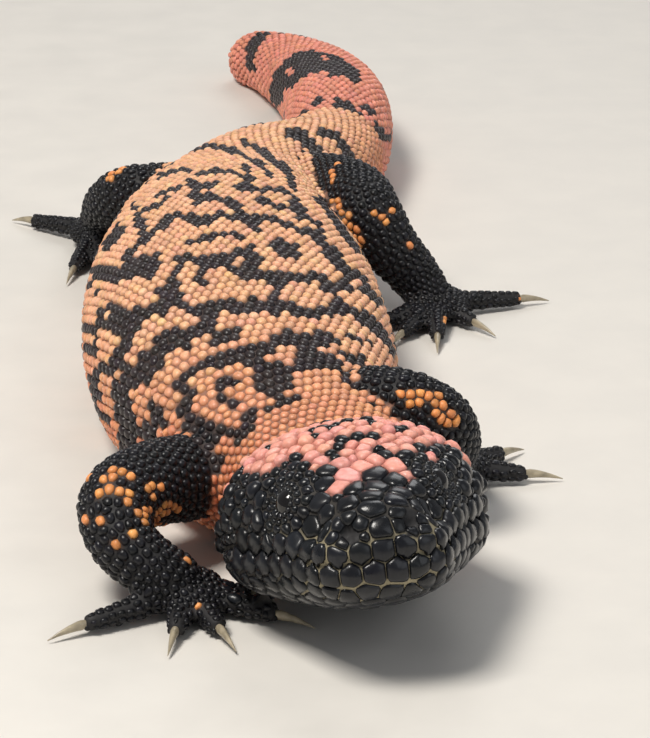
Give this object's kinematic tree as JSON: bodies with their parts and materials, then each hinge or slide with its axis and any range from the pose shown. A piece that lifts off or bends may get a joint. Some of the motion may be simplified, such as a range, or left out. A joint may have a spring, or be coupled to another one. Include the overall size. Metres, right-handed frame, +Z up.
{
  "type": "gila monster",
  "caption": "Life-size still model of a gila monster walking low on the floor, beaded in black, peach and pink, with raised head, bent legs and thick curved tail",
  "frame": {"origin": "on the floor, under the middle of the animal's bounding box", "axes": "+Z up, head towards -Y, tail towards +Y, the animal's left side towards +X"},
  "size_m": [0.1455, 0.4531, 0.0441],
  "materials": {
    "skin_back": "beaded scales, satin",
    "skin_tail": "beaded scales, satin",
    "skin_head": "large glossy scales",
    "skin_legs": "beaded scales, satin",
    "eye": "wet gloss",
    "claw": "horn, satin"
  },
  "bodies": {
    "root": {"neck": "skin_back", "torso_front": "skin_back", "torso_rear": "skin_back", "tail_base": "skin_tail", "tail_middle": "skin_tail", "tail_tip": "skin_tail", "head": "skin_head", "lower_jaw": "skin_head", "upper_arm_left": "skin_legs", "forearm_left": "skin_legs", "hand_left": "skin_legs", "thigh_left": "skin_legs", "shin_left": "skin_legs", "foot_left": "skin_legs", "eye_left": "eye", "upper_arm_right": "skin_legs", "forearm_right": "skin_legs", "hand_right": "skin_legs", "thigh_right": "skin_legs", "shin_right": "skin_legs", "foot_right": "skin_legs", "eye_right": "eye", "hand_claw_left_1": "claw", "hand_claw_left_2": "claw", "hand_claw_left_3": "claw", "hand_claw_left_4": "claw", "hand_claw_left_5": "claw", "hand_claw_right_1": "claw", "hand_claw_right_2": "claw", "hand_claw_right_3": "claw", "hand_claw_right_4": "claw", "hand_claw_right_5": "claw", "foot_claw_left_1": "claw", "foot_claw_left_2": "claw", "foot_claw_left_3": "claw", "foot_claw_left_4": "claw", "foot_claw_left_5": "claw", "foot_claw_right_1": "claw", "foot_claw_right_2": "claw", "foot_claw_right_3": "claw", "foot_claw_right_4": "claw", "foot_claw_right_5": "claw"}
  },
  "joints": []
}
